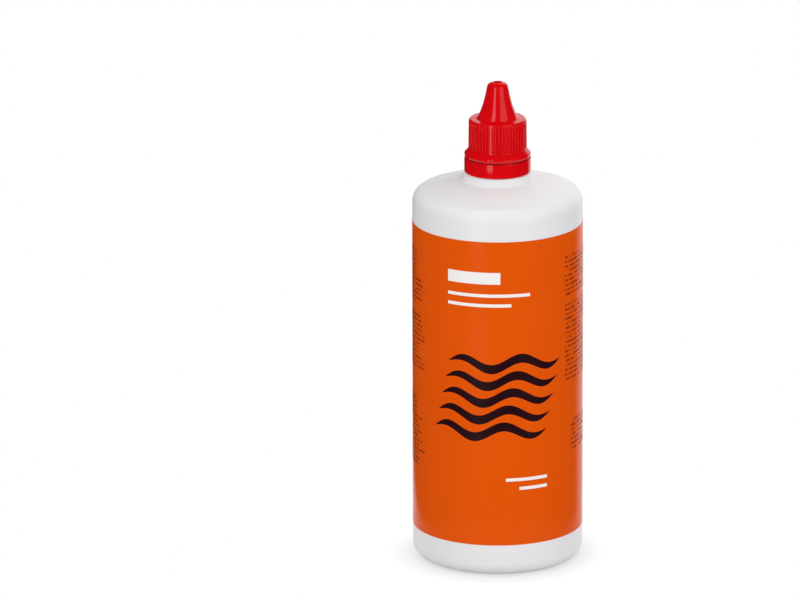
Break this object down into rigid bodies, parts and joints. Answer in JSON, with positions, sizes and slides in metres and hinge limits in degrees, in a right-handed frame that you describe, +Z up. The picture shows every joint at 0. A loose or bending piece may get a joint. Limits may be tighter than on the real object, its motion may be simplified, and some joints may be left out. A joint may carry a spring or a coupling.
{
  "type": "contact lens solution bottle",
  "caption": "Round squeeze bottle for lens solution with a wraparound film label, a nozzle plug, a ribbed conical screw cap and a tamper ring.",
  "frame": {"origin": "centre of the base, on the surface that the bottle stands on", "axes": "+Z up along the bottle's axis; the front of the label faces -Y and its seam +Y"},
  "size_m": [0.062, 0.062, 0.178],
  "materials": {
    "white_bottle": "satin white blow-moulded polyethylene",
    "orange_label": "gloss printed polypropylene film",
    "natural_plug": "natural low-density polyethylene, slightly milky",
    "red_cap": "gloss injection-moulded polypropylene"
  },
  "bodies": {
    "bottle": {"bottle": "white_bottle", "label": "orange_label", "dropper_insert": "natural_plug"},
    "tamper_ring": {"tamper_ring": "red_cap"},
    "screw_cap": {"screw_cap": "red_cap"}
  },
  "joints": [
    {"name": "cap_turn", "type": "hinge", "parent": "bottle", "child": "tamper_ring", "pos_m": [0, 0, 0.1472], "axis": [0, 0, 1], "range_deg": [0, 2880]},
    {"name": "cap_lift", "type": "slide", "parent": "tamper_ring", "child": "screw_cap", "axis": [0, 0, 1], "range_m": [0, 0.0256]}
  ],
  "couplings": [
    {"joint": "cap_lift", "follows": "cap_turn", "m_per_rad": 0.00050929}
  ]
}
